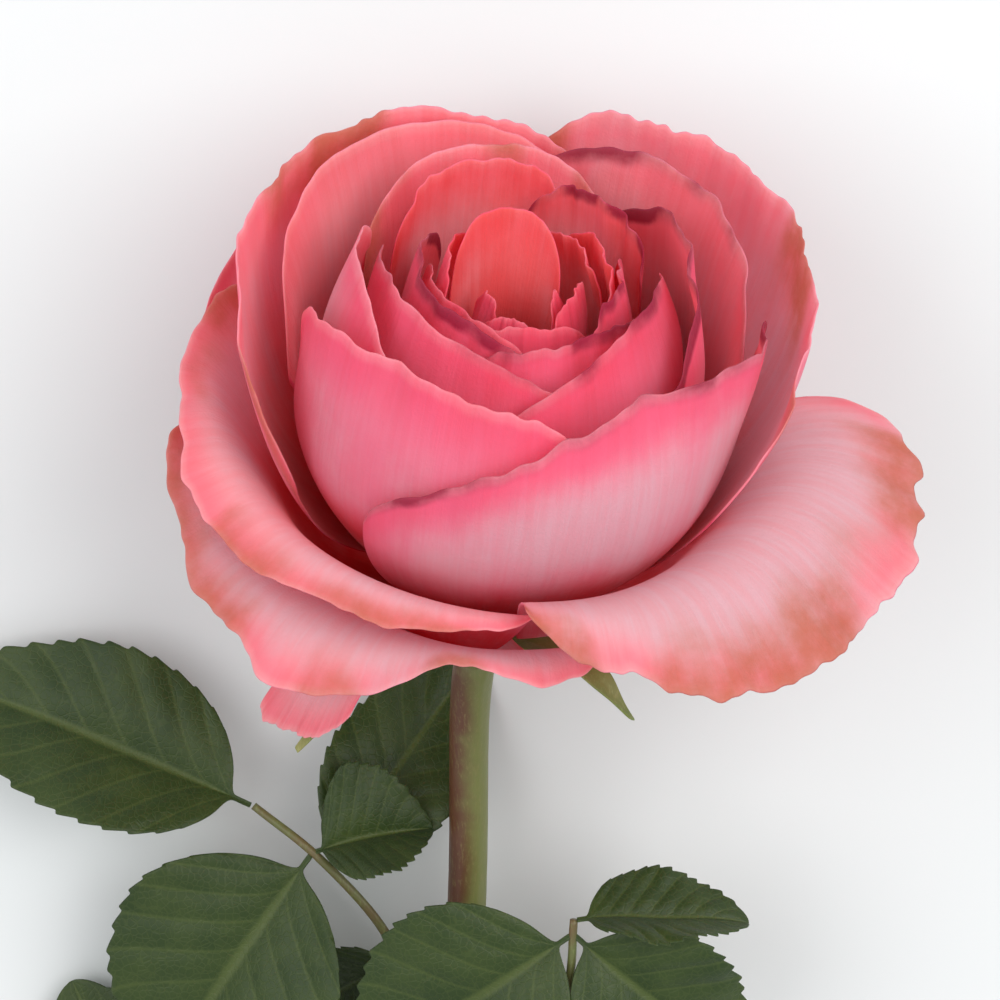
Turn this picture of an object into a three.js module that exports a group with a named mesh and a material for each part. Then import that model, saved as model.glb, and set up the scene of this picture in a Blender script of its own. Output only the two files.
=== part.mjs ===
// A cut garden rose lying on its side: one full bloom on a short leafy stem.
// Millimetres, +Z up. The stem runs along Y with the bloom at the +Y end, and Z = 0 is the surface under it.
import * as THREE from "three";

// ---- driving dimensions ----
const BLOOM_SCALE = 1; // grows or shrinks the whole bloom
const BLOOM_TILT = 28; // degrees that the bloom's axis rises from the surface
const BLOOM_LEAN = 7; // degrees that the bloom leans to the right, seen from above
const VIEW_RISE = 78; // degrees above the surface of the direction the bloom leans about
const PETAL_THICKNESS = 0.5;
const DRAWN_THICKNESS = 0.5; // the petal thickness that the petals' profiles are drawn for
const HIP_RADIUS = 6.6;
const HIP_LENGTH = 12;
const HIP_CONE_TOP = 11.4; // above the base of the petals
const SEPAL_WIDTH = 7;
const SEPAL_THICKNESS = 0.6;
const STEM_LENGTH = 288; // from the hip to the cut end
const NECK_LENGTH = 12; // the stretch under the hip that is in line with the bloom
const STEM_RADIUS = 3.1;
const STALK_RADIUS = 0.9; // leaf stalks, where they leave the stem
const LEAFLET_SCALE = 1; // grows or shrinks every leaflet
const LEAF_THICKNESS = 0.5;
const LEAFLET_GAP = 0.9; // from a leaf stalk to the leaflets beside it
const LEAFLET_STUB = 0.07; // share of a leaflet that is its own short stalk
const STUB_HALF_WIDTH = 0.45;
const CLEARANCE = 0.35; // between pieces that meet
const PETAL_CELLS = [8, 6]; // across and along
const LEAF_CELLS = [6, 8];

const rad = THREE.MathUtils.degToRad;
const UP = new THREE.Vector3(0, 0, 1);

// ---- colours ----
const finish = (hex, roughness) => new THREE.MeshStandardMaterial({ color: hex, roughness, metalness: 0 });
const PETAL = finish(0xee6f78, 0.6);
const LEAF = finish(0x2f4a2c, 0.45);
const STEM = finish(0x6b7a3a, 0.55);
const SEPAL = finish(0x6f7f35, 0.6);
const STAMEN = finish(0xd9a441, 0.8);

// ---- curves ----
// A Catmull-Rom curve through points of any dimension, for t from 0 to 1.
function along(points, t) {
  const last = points.length - 1;
  const x = Math.min(Math.max(t, 0), 1) * last;
  const i = Math.min(Math.floor(x), last - 1);
  const f = x - i;
  const b = points[i];
  const c = points[i + 1];
  const a = i > 0 ? points[i - 1] : b.map((v, k) => 2 * v - c[k]);
  const d = i + 2 <= last ? points[i + 2] : c.map((v, k) => 2 * v - b[k]);
  return b.map((v, k) => {
    const linear = c[k] - a[k];
    const square = 2 * a[k] - 5 * v + 4 * c[k] - d[k];
    const cube = 3 * v - a[k] - 3 * c[k] + d[k];
    return 0.5 * (2 * v + linear * f + square * f ** 2 + cube * f ** 3);
  });
}

const rise = (from, to, x) => THREE.MathUtils.smoothstep(x, from, to);

// A slow irregular wave, for ruffled rims.
const ruffle = (x, seed) =>
  0.5 * Math.sin(x + seed) + 0.32 * Math.sin(2.3 * x + 2.1 * seed) + 0.22 * Math.sin(4.7 * x + 3.7 * seed);

// ---- a sheet: a thin closed solid around a surface ----
// surface(u, v) gives a Vector3 for u from -1 to 1 across and v from 0 to 1 along.
function sheet(surface, thickness, [across, lengthwise], settle = (p) => p) {
  const geometry = new THREE.BoxGeometry(2, 1, 1, across, lengthwise, 1);
  const place = geometry.getAttribute("position");
  const step = 1e-3;
  for (let i = 0; i < place.count; i++) {
    const u = place.getX(i);
    const v = place.getY(i) + 0.5;
    const side = Math.sign(place.getZ(i));
    const point = surface(u, v);
    const acrossEdge = surface(u + step, v).sub(surface(u - step, v));
    const alongEdge = surface(u, v + step).sub(surface(u, v - step));
    const normal = acrossEdge.cross(alongEdge).normalize();
    const moved = settle(point.addScaledVector(normal, (side * thickness) / 2));
    place.setXYZ(i, moved.x, moved.y, moved.z);
  }
  geometry.deleteAttribute("normal");
  geometry.deleteAttribute("uv");
  return geometry;
}

// ---- a rod: a round solid of changing radius along a route, which gives a Vector3 for t from 0 to 1 ----
function rod(route, radiusAt, sides, rings) {
  const geometry = new THREE.CylinderGeometry(1, 1, 1, sides, rings);
  const place = geometry.getAttribute("position");
  const step = 1e-3;
  for (let i = 0; i < place.count; i++) {
    const t = 0.5 - place.getY(i);
    const tangent = route(Math.min(t + step, 1)).sub(route(Math.max(t - step, 0))).normalize();
    const sideways = new THREE.Vector3().crossVectors(UP, tangent).normalize();
    const upwards = new THREE.Vector3().crossVectors(tangent, sideways);
    const centre = route(t);
    centre.addScaledVector(sideways, place.getX(i) * radiusAt(t));
    centre.addScaledVector(upwards, place.getZ(i) * radiusAt(t));
    place.setXYZ(i, centre.x, centre.y, centre.z);
  }
  geometry.deleteAttribute("normal");
  geometry.deleteAttribute("uv");
  return geometry;
}

const mesh = (name, geometry, material) => {
  const made = new THREE.Mesh(geometry, material);
  made.name = name;
  return made;
};

// ---- petals, in the bloom's own frame: its axis is +Z, 0 degrees is to the right and 90 is underneath ----
// at and half are the middle angle and the half width in degrees, profile is [radius, height] from base to rim.
// left and right change the last two profile points at the petal's edges, rounding is how far its corners drop,
// fall lowers the left and right of the rim further, dent is [place across, depth] of a notch in the rim,
// skew moves one edge out and the other in, shift moves the top sideways, roll turns the rim outwards.
const PETALS = [
  { name: "guard_petal_hanging", at: -128, half: 13,
    profile: [[7.5, -1.2], [18, 2], [28, 4], [35, 1], [40, -6]],
    left: [0, 0, 4, -2], right: [0, 2, -2, 5], rounding: 0.25 },
  { name: "guard_petal_front_left", at: -118, half: 58,
    profile: [[8, 0], [25, 7], [36, 19.3], [45, 22], [53, 16]],
    left: [0, 7, -3, 16], right: [-5, 1, -10, 6], rounding: 0.3, dent: [0.42, 0.22], frill: 1 },
  { name: "guard_petal_left", at: -140, half: 62,
    profile: [[8.3, 1.2], [25, 9.4], [35.3, 25.2], [42, 32], [49.5, 30]],
    left: [2, 9, 3, 17], right: [-3, -4, -9, -4], rounding: 0.3, fall: [0.09, 0], frill: 0.7 },
  { name: "guard_petal_right", at: -32, half: 49.5,
    profile: [[8, 2.2], [24.6, 11.4], [36, 28.4], [47, 33], [61.5, 23.5]],
    left: [-3, -0.5, -13, 3], right: [3, 0.5, 8, 6], rounding: 0.3, frill: 0.9 },
  { name: "guard_petal_under_left", at: 116, half: 47,
    profile: [[9, -0.6], [28, 6], [42, 16], [49, 29], [51, 42]] },
  { name: "guard_petal_under_right", at: 65, half: 39,
    profile: [[8.4, 0.6], [26.5, 9], [38.5, 21], [44.5, 33], [47, 44]] },
  { name: "upright_petal_right", at: 36, half: 63,
    profile: [[7.5, 2.8], [21.9, 11.5], [33.2, 26.4], [40.3, 43], [43.5, 61]],
    right: [0, 2, 1, 9], rounding: 0.42, skew: 0.5, frill: 0.8 },
  { name: "upright_petal_left", at: 141, half: 73,
    profile: [[7.2, 3.8], [21.2, 12.4], [32, 26.6], [38.2, 43], [41, 60.5]],
    left: [0, 1, 0, 5], rounding: 0.42, skew: 0.8, frill: 0.8 },
  { name: "cup_petal_front_right", at: -58, half: 66,
    profile: [[7, 4.6], [22, 13.4], [32, 28], [34.5, 44], [31, 59]],
    right: [1, 1, 8, 2], rounding: 0.14, fall: [0.28, 0], frill: 0.8 },
  { name: "cup_petal_front_left", at: -120, half: 54,
    profile: [[6.6, 5.2], [20.4, 14.2], [30.4, 30], [31.5, 45], [29, 60]],
    left: [-0.5, 0, 2.2, 0], rounding: 0.2, fall: [0.02, 0.03], frill: 0.6 },
  { name: "cup_petal_back_left", at: 128, half: 55,
    profile: [[6.4, 5.6], [20, 15], [30.2, 31], [33, 46], [36, 61.5]],
    skew: -0.8, roll: 1.2 },
  { name: "cup_petal_back_right", at: 50, half: 55,
    profile: [[6, 6.2], [19, 15], [28.8, 31], [31, 46], [32.5, 63]],
    skew: -0.6, frill: 0.6, roll: 1 },
  { name: "inner_petal_left", at: -158, half: 54,
    profile: [[5.8, 6.8], [18, 15.5], [27.4, 32], [28, 46], [23.5, 62]],
    left: [0, 0, 1.2, 0], rounding: 0.2, fall: [0, 0.17], skew: 0.4 },
  { name: "inner_petal_right", at: 4, half: 62,
    profile: [[5.8, 6.8], [18, 15.5], [27.4, 32], [28.1, 46], [24.5, 62.5]],
    right: [0, 0, 3, 0], rounding: 0.2, fall: [0.2, 0], frill: 0.9 },
  { name: "inner_petal_back", at: 108, half: 45,
    profile: [[5.5, 7.4], [16.5, 16.5], [25.2, 33], [26, 47], [27, 63]],
    skew: -0.6, roll: 1, rounding: 0.3 },
  { name: "inner_petal_front_right", at: -35, half: 64,
    profile: [[5.3, 7.8], [15.6, 17], [24, 33], [25, 47], [19.6, 61.5]],
    rounding: 0.18, fall: [0.13, 0], skew: -0.5 },
  { name: "inner_petal_front_left", at: -132, half: 72,
    profile: [[4.95, 8.2], [14.5, 17.6], [21.9, 33.5], [22.3, 47], [19, 60.5]],
    left: [0, 0, 1.5, 2], rounding: 0.18, fall: [0, 0.07], frill: 0.5 },
  { name: "heart_petal_front", at: -60, half: 58,
    profile: [[4.8, 8.8], [13.2, 18.5], [19.4, 34], [19.8, 47], [16, 58.5]],
    right: [0, 0, 0, 1.5], rounding: 0.18, frill: 0.6 },
  { name: "heart_petal_back", at: 112, half: 42,
    profile: [[4.7, 9], [13.6, 19], [20.6, 36], [21.4, 50], [21.6, 64.5]],
    frill: 0.7, rounding: 0.3 },
  { name: "heart_petal_back_right", at: 60, half: 36,
    profile: [[4.3, 9.6], [12.6, 19.6], [18.8, 37], [19.6, 50], [18.6, 63.5]],
    left: [0.3, 0, 0.6, 0], rounding: 0.3, frill: 0.8 },
  { name: "heart_petal_left", at: -150, half: 76,
    profile: [[4.45, 9.3], [12, 19.5], [17, 35.5], [17.3, 48], [14.6, 60.5]],
    left: [0, 0, 0.5, 2.5], right: [0, 0, -1, -1.5], rounding: 0.18, frill: 0.6 },
  { name: "heart_petal_right", at: -8, half: 42,
    profile: [[4.3, 9.7], [11.4, 20], [16.8, 36.5], [17.2, 49], [13.8, 61.5]],
    right: [-0.2, 0, 1, 1.5], rounding: 0.2, skew: -0.3, frill: 0.6 },
  { name: "heart_petal_lower_left", at: -138, half: 62,
    profile: [[4.1, 9.9], [10.6, 20.5], [15, 36.5], [15.4, 48.5], [12.2, 59]],
    left: [0, 0, 1, 2.5], rounding: 0.2, frill: 0.5 },
  { name: "eye_petal_right", at: 22, half: 50,
    profile: [[3.9, 10.5], [9.8, 21.5], [14.4, 38], [14.8, 50], [12.4, 61.5]],
    right: [0, 0, 3, 1], rounding: 0.25, frill: 0.6 },
  { name: "eye_petal_front", at: -80, half: 54,
    profile: [[3.8, 10.8], [9.2, 22.5], [13, 37], [13, 47.5], [9.6, 57]],
    right: [0, 0, 1.5, 2], rounding: 0.2, frill: 0.5 },
  { name: "eye_petal_left", at: 166, half: 48,
    profile: [[3.5, 11.2], [8.2, 23], [11.6, 40], [12.4, 51], [10.8, 62]],
    rounding: 0.3, frill: 0.4 },
  { name: "eye_petal_upper_right", at: 52, half: 42,
    profile: [[3.5, 11.1], [8.2, 22.8], [12.4, 39], [12.6, 51], [10.4, 61]],
    rounding: 0.3, frill: 0.6 },
  { name: "eye_petal_lower_right", at: -14, half: 42,
    profile: [[3.2, 11.9], [6.8, 24.4], [10.2, 39], [10.4, 49.5], [8, 59.5]],
    rounding: 0.25, frill: 0.5 },
  { name: "core_petal_centre", at: 98, half: 50,
    profile: [[3, 12.2], [6.4, 25], [9.4, 41], [11, 54], [13.4, 66.5]],
    shift: [-1, -7], rounding: 0.5, frill: 0.2 },
  { name: "core_petal_front", at: -98, half: 42,
    profile: [[2.8, 12.2], [5.6, 25], [8.6, 40], [8.6, 49], [6.2, 56]],
    rounding: 0.25, frill: 0.4 },
  { name: "core_petal_right", at: -20, half: 28,
    profile: [[2.6, 12.6], [5, 26], [7.8, 40], [7.8, 50], [5.2, 58.5]],
    frill: 0.4 },
  { name: "core_petal_left", at: -152, half: 38,
    profile: [[2.3, 12.8], [4.2, 26], [6, 41], [6.2, 50], [5, 57]],
    rounding: 0.3, frill: 0.3 },
];

// Thicker petals need more room: each moves out by what the petals inside it take up,
// and the hip's cone widens too.
const EXTRA_ROOM = PETALS.length * (PETAL_THICKNESS - DRAWN_THICKNESS);

// The petal's surface: a cup wall cut to a round-topped outline, with a rim that waves.
function petalSurface(petal, index) {
  const { rounding = 0.4, frill = 0.3, left = [0, 0, 0, 0], right = [0, 0, 0, 0] } = petal;
  const { fall = [0, 0], dent = [0, 0], skew = 0, shift = [0, 0], roll = 0 } = petal;
  const corner = 2.4;
  const [a, b, c, d, e] = petal.profile;
  const packing = EXTRA_ROOM * (1 - index / PETALS.length);
  return (u, v) => {
    const across = Math.min(Math.abs(u), 1);
    const dome = (1 - across ** corner) ** (1 / corner);
    const notch = dent[1] * Math.exp(-(((u - dent[0]) / 0.24) ** 2));
    const lowered = 1 - (u < 0 ? fall[0] : fall[1]) * across - notch;
    const t = v * (1 - rounding + rounding * dome) * lowered;
    const edge = (u < 0 ? left : right).map((change) => change * across ** 1.6);
    const shaped = [a, b, c, [d[0] + edge[0], d[1] + edge[1]], [e[0] + edge[2], e[1] + edge[3]]];
    const [radius, height] = along(shaped, t);
    const wave = frill * rise(0.62, 1, v) ** 1.5;
    const curl = roll * rise(0.8, 1, v) ** 2;
    const r = radius + packing + wave * ruffle(7 * u, 1.3 * index) + curl + skew * u * rise(0, 0.4, t);
    const z = height + 0.6 * wave * ruffle(9 * u, 2.1 * index + 1) - 0.6 * curl;
    const angle = rad(petal.at) + rad(petal.half) * (0.8 + 0.2 * rise(0, 0.5, t)) * u;
    const drift = rise(0, 0.7, t);
    const x = r * Math.cos(angle) + shift[0] * drift;
    const y = r * Math.sin(angle) + shift[1] * drift;
    return new THREE.Vector3(x, y, z).multiplyScalar(BLOOM_SCALE);
  };
}

// ---- sepals, in the bloom's frame: [radius, height] from the hip to the tip ----
const SEPALS = [
  { name: "sepal_front_left", at: -128, bow: -4, profile: [[8, -3.5], [18, -4.5], [28, -6], [37, -13]] },
  { name: "sepal_front_right", at: -56, bow: 16, profile: [[8, -3.5], [16, 0], [25, 1], [32, -5]] },
  { name: "sepal_right", at: 16, bow: 6, profile: [[8, -3.5], [18, 0], [28, 2], [36, -2]] },
  { name: "sepal_under", at: 88, bow: -5, profile: [[8, -3.5], [17, -4], [25, -4], [31, -1]] },
  { name: "sepal_left", at: 160, bow: 6, profile: [[8, -3.5], [18, -1], [28, 1], [36, -2]] },
];

function sepalSurface({ at, bow, profile }) {
  return (u, v) => {
    const [radius, height] = along(profile, v);
    const width = (SEPAL_WIDTH / 2) * Math.max(1 - v, 0) * (0.9 + 0.7 * v) + 0.35;
    const angle = rad(at + bow * v);
    const cup = 0.12 * width * u * u;
    const out = new THREE.Vector3(Math.cos(angle), Math.sin(angle), 0);
    const sideways = new THREE.Vector3(-Math.sin(angle), Math.cos(angle), 0);
    return out
      .multiplyScalar(radius * BLOOM_SCALE)
      .addScaledVector(sideways, u * width)
      .setZ(height * BLOOM_SCALE + cup);
  };
}

// ---- the hip: an urn with a short cone on top, where the petals are fixed ----
function hipProfile() {
  const cone = [[6.7, -1.6], [5.7, 2.6], [4.6, 5.5], [3.2, 8.2], [1.7, 10.6], [0, HIP_CONE_TOP]];
  const urn = [
    [0, -HIP_LENGTH - 2],
    [STEM_RADIUS + 0.3, -HIP_LENGTH - 2],
    [0.75 * HIP_RADIUS, -0.8 * HIP_LENGTH],
    [HIP_RADIUS, -0.45 * HIP_LENGTH],
    [0.93 * HIP_RADIUS, -2.6],
  ];
  const widening = 1 + EXTRA_ROOM / cone[0][0];
  const widened = cone.map(([r, z]) => [r * widening * BLOOM_SCALE, z * BLOOM_SCALE]);
  return [...urn, ...widened].map(([r, z]) => new THREE.Vector2(r, z));
}

// ---- the stamens and styles: a short ribbed tuft on the hip, hidden by the innermost petals ----
function stamenTuft() {
  const height = HIP_CONE_TOP * BLOOM_SCALE + CLEARANCE;
  const outline = [[0, 0], [0.9, 0], [1.2, 3], [1.7, 6.5], [1.3, 8], [0, 8.2]];
  const tuft = new THREE.LatheGeometry(outline.map(([r, z]) => new THREE.Vector2(r, z)), 10);
  return tuft.rotateX(Math.PI / 2).translate(0, 0, height);
}

// ---- the bloom, tilted and set down so that its lowest petal touches Z = 0 ----
const leanAxis = new THREE.Vector3(0, Math.cos(rad(VIEW_RISE)), Math.sin(rad(VIEW_RISE)));
const bloomTurn = new THREE.Quaternion()
  .setFromAxisAngle(leanAxis, -rad(BLOOM_LEAN))
  .multiply(new THREE.Quaternion().setFromAxisAngle(new THREE.Vector3(1, 0, 0), -rad(90 - BLOOM_TILT)));

const bloom = new THREE.Group();
bloom.quaternion.copy(bloomTurn);
PETALS.forEach((petal, index) => {
  bloom.add(mesh(petal.name, sheet(petalSurface(petal, index), PETAL_THICKNESS, PETAL_CELLS), PETAL));
});
SEPALS.forEach((sepal) => {
  bloom.add(mesh(sepal.name, sheet(sepalSurface(sepal), SEPAL_THICKNESS, [4, 8]), SEPAL));
});
bloom.add(mesh("hip", new THREE.LatheGeometry(hipProfile(), 16).rotateX(Math.PI / 2), STEM));
bloom.add(mesh("stamens", stamenTuft(), STAMEN));
bloom.updateMatrixWorld(true);
bloom.position.z = -new THREE.Box3().setFromObject(bloom, true).min.z;
bloom.updateMatrixWorld(true);

// ---- the stem, from under the hip down to the surface ----
const inBloom = (x, y, z) => bloom.localToWorld(new THREE.Vector3(x, y, z));
const stemTop = inBloom(0, 0, -HIP_LENGTH - 2 - CLEARANCE);
const neckEnd = inBloom(0, 0, -HIP_LENGTH - NECK_LENGTH);
const stemRun = (share) => neckEnd.y - share * (STEM_LENGTH - NECK_LENGTH);
// [x, share of the run, z] of the stem beyond its neck, which it reaches in an easy bend
const STEM_BENDS = [[-2.6, 0.1, 14.5], [-5, 0.35, 12], [-3.5, 0.68, 7.5], [4, 1, STEM_RADIUS * 1.1]];
const stemPoints = [
  stemTop.toArray(),
  neckEnd.toArray(),
  ...STEM_BENDS.map(([x, share, z]) => [x, stemRun(share), z]),
];
const stemCurve = new THREE.CatmullRomCurve3(stemPoints.map((point) => new THREE.Vector3(...point)));
const stemRoute = (t) => stemCurve.getPointAt(t);

// ---- leaves: each leaves the stem at a joint, in millimetres from the stem's top ----
// side is the angle around the stem where the stalk starts, 0 to the right and 90 on top.
// stalk holds [x, y, z] steps from that start. A leaflet grows at a share along the stalk, towards heading
// (0 to the right, 90 towards the bloom) and dips below the level; size is [length, width];
// roll turns the blade about its midrib, fold lifts its halves and arch bows it along its length, in degrees.
const LEAVES = [
  {
    name: "leaf_left",
    joint: 75,
    side: 180,
    stalk: [[0, 0, 0], [-1.5, 13, 1.5], [-6, 26, 2.5], [-16, 38, 3], [-26.5, 46, 0.5]],
    leaflets: [
      { name: "tip", at: 1, heading: 160, dip: 10, size: [54, 30], roll: 30, fold: 18, arch: 22 },
      { name: "outer", at: 0.78, heading: -122, dip: 8, size: [48, 40], roll: 16, fold: 16, arch: 30 },
      { name: "inner", at: 0.78, heading: 10, dip: 6, size: [19, 25], roll: -38, fold: 38, arch: 30 },
      { name: "low_outer", at: 0.42, heading: -140, dip: 30, size: [24, 17], roll: 0, fold: 10, arch: 14 },
      { name: "low_inner", at: 0.72, heading: 52, dip: 27, size: [42, 22], roll: -10, fold: 10, arch: 8 },
    ],
  },
  {
    name: "leaf_right",
    joint: 121,
    side: 60,
    stalk: [[0, 0, 0], [4, 24, 5], [10, 47, 11], [15, 67, 15], [16, 79, 16]],
    leaflets: [
      { name: "tip", at: 1, heading: -3, dip: 6, size: [27, 17], roll: -66, fold: 14, arch: 26 },
      { name: "inner", at: 0.95, heading: -143, dip: 14, size: [42, 34], roll: 8, fold: 12, arch: 34 },
      { name: "outer", at: 0.95, heading: -42, dip: 16, size: [36, 27], roll: 0, fold: 14, arch: 46 },
      { name: "low_right", at: 0.42, heading: -38, dip: 24, size: [44, 31], roll: -8, fold: 12, arch: 24 },
      { name: "low_left", at: 0.42, heading: -158, dip: 20, size: [44, 30], roll: 0, fold: 12, arch: 40 },
    ],
  },
  {
    name: "leaf_low",
    joint: 173,
    side: 180,
    stalk: [[0, 0, 0], [-7, 18, 0.5], [-19, 42, -1], [-30, 60, -2.5], [-38, 71, -4]],
    leaflets: [
      { name: "tip", at: 1, heading: 114, dip: 3, size: [44, 32], roll: 0, fold: 8, arch: 10 },
      { name: "outer", at: 0.84, heading: 180, dip: 8, size: [42, 30], roll: 0, fold: 12, arch: 24 },
      { name: "inner", at: 0.84, heading: 48, dip: 5, size: [36, 24], roll: 0, fold: 10, arch: 16 },
      { name: "low_outer", at: 0.5, heading: -166, dip: 9, size: [38, 27], roll: 0, fold: 12, arch: 24 },
      { name: "low_inner", at: 0.5, heading: 60, dip: 12, size: [24, 18], roll: 0, fold: 12, arch: 16 },
    ],
  },
];

// The stem is thicker under the hip, at every joint and towards the cut end.
const BARE_JOINT = 231; // a joint below the leaves
const joints = [...LEAVES.map((leaf) => leaf.joint), BARE_JOINT].map((joint) => joint / STEM_LENGTH);
const stemRadius = (t) => {
  const swelling = joints.reduce((sum, joint) => sum + Math.exp(-(((t - joint) / 0.012) ** 2)), 0);
  return STEM_RADIUS * (1 + 0.1 * t) + 0.5 * swelling + 0.35 * Math.exp(-t / 0.03);
};

// A stalk is stout where it leaves the stem and thins towards its tip.
const stalkRadius = (t) => STALK_RADIUS * (1 - 0.3 * t + 0.8 * Math.exp(-t / 0.06));

function stalkRoute({ joint, side, stalk }) {
  const away = new THREE.Vector3(Math.cos(rad(side)), 0, Math.sin(rad(side)));
  const t = joint / STEM_LENGTH;
  const start = stemRoute(t).addScaledVector(away, stemRadius(t) + stalkRadius(0) + CLEARANCE);
  return (t) => new THREE.Vector3(...along(stalk, t)).add(start);
}

// Leaf blades that reach the surface lie on it instead of passing through it.
const FLOOR_BLEND = 0.8;
const lieOnSurface = (p) => {
  const height = p.z - LEAF_THICKNESS / 2;
  p.z = 0.5 * (height + Math.hypot(height, 2 * FLOOR_BLEND)) + LEAF_THICKNESS / 2;
  return p;
};

function leafletSurface(stalk, { at, heading, dip, size, roll, fold, arch }) {
  const level = Math.cos(rad(dip));
  const way = rad(heading);
  const aim = new THREE.Vector3(level * Math.cos(way), level * Math.sin(way), -Math.sin(rad(dip)));
  const base = stalk(at).addScaledVector(aim, stalkRadius(at) + LEAFLET_GAP);
  const up = UP.clone().addScaledVector(aim, -aim.z).normalize().applyAxisAngle(aim, rad(roll));
  const sideways = new THREE.Vector3().crossVectors(aim, up);
  const length = size[0] * LEAFLET_SCALE;
  const halfWidth = (size[1] * LEAFLET_SCALE) / 2;
  const bend = rad(Math.max(arch, 1));
  return (u, v) => {
    const turn = bend * (v - 0.5);
    const forward = (length * (Math.sin(turn) + Math.sin(bend / 2))) / bend;
    const lift = (length * (Math.cos(turn) - Math.cos(bend / 2))) / bend;
    const beyondStub = THREE.MathUtils.clamp((v - LEAFLET_STUB) / (1 - LEAFLET_STUB), 0, 1);
    const outline = Math.abs(Math.sin(Math.PI * beyondStub ** 0.75)) ** 0.72;
    const half = halfWidth * outline + STUB_HALF_WIDTH;
    const raised = Math.abs(u) * half * Math.sin(rad(fold));
    const blade = new THREE.Vector3().copy(base).addScaledVector(aim, forward);
    blade.addScaledVector(sideways, u * half * Math.cos(rad(fold)));
    blade.addScaledVector(up, lift + raised);
    return lieOnSurface(blade);
  };
}

const plant = new THREE.Group();
plant.add(bloom);
plant.add(mesh("stem", rod(stemRoute, stemRadius, 12, 44), STEM));
for (const leaf of LEAVES) {
  const stalk = stalkRoute(leaf);
  plant.add(mesh(leaf.name + "_stalk", rod(stalk, stalkRadius, 8, 16), STEM));
  for (const leaflet of leaf.leaflets) {
    const name = leaf.name + "_" + leaflet.name;
    plant.add(mesh(name, sheet(leafletSurface(stalk, leaflet), LEAF_THICKNESS, LEAF_CELLS), LEAF));
  }
}

// ---- the part's frame: its origin is under the middle of the whole rose ----
plant.updateMatrixWorld(true);
const box = new THREE.Box3().setFromObject(plant, true);
const middle = box.getCenter(new THREE.Vector3());
plant.position.set(-middle.x, -middle.y, -box.min.z);
const rose = new THREE.Group();
rose.add(plant);

export default rose;
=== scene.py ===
# %% [markdown]
# # A cut garden rose, lying on its side
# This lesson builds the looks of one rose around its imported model: thirty-two petals, five sepals, a hip,
# a stem and three leaves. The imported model, called the frame, holds the true place of every piece.
# Everything is in metres, +Z is up, and the stem runs along Y with the bloom at the +Y end.
# We load the frame first, and keep its box, because the finished rose has to stay as big as the frame.

# %% Load the frame
import math

import bmesh
import bpy
import numpy as np
from mathutils import Matrix, Vector, noise


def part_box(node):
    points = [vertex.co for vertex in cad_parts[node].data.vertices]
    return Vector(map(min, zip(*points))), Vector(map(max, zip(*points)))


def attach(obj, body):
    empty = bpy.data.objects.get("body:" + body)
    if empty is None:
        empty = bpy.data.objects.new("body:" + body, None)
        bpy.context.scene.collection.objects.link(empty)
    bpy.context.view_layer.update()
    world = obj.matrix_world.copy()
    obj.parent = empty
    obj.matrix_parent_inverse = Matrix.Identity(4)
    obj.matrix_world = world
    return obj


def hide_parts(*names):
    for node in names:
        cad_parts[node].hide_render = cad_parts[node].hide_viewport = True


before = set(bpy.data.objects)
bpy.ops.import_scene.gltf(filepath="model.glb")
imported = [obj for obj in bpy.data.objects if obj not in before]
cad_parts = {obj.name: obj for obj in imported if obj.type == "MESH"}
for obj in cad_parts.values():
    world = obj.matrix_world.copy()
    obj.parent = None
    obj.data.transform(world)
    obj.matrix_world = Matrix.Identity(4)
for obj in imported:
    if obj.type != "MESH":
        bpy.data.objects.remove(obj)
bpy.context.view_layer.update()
MM = 0.001

# %% [markdown]
# Many pieces repeat the same three jobs: follow a smooth curve through a few points, ease a value in, and
# ripple a rim without any repeat that the eye can catch. A Catmull-Rom curve passes through its points,
# so a petal's side view can be written down as five points. The ripple is a sum of sines whose lengths do
# not divide each other, which is cheap and always gives the same answer.

# %% Curves, easing and ripples
def along(points, t):
    """A Catmull-Rom curve through the points, for t from 0 to 1."""
    last = len(points) - 1
    x = min(max(t, 0), 1) * last
    i = min(int(x), last - 1)
    f = x - i
    b, c = points[i], points[i + 1]
    a = points[i - 1] if i else [2 * p - q for p, q in zip(b, c)]
    d = points[i + 2] if i + 2 <= last else [2 * q - p for p, q in zip(b, c)]
    return [
        q + 0.5 * f * (r - p + f * (2 * p - 5 * q + 4 * r - s + f * (3 * q - p - 3 * r + s)))
        for p, q, r, s in zip(a, b, c, d)
    ]


def rise(start, end, x):
    """Eases from 0 at start to 1 at end."""
    x = min(max((x - start) / (end - start), 0), 1)
    return x * x * (3 - 2 * x)


def ruffle(x, seed):
    """An uneven wave between about -1 and 1."""
    swell = 0.5 * math.sin(x + seed) + 0.32 * math.sin(2.3 * x + 2.1 * seed)
    return swell + 0.22 * math.sin(4.7 * x + 3.7 * seed)


print("halfway along a bent line:", along([(0, 0), (1, 0), (1, 1)], 0.5))

# %% [markdown]
# The bloom is drawn in its own frame, with its axis along +Z and the petals' base at its origin. It then
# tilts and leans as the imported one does. The hip under the petals tells us where: a profile of a few
# vertices is spun into an urn with a cone on top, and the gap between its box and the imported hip's is the
# bloom's place. Spinning a profile is the shortest way to any turned shape, and the doubled seam is
# merged as it closes.

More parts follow.
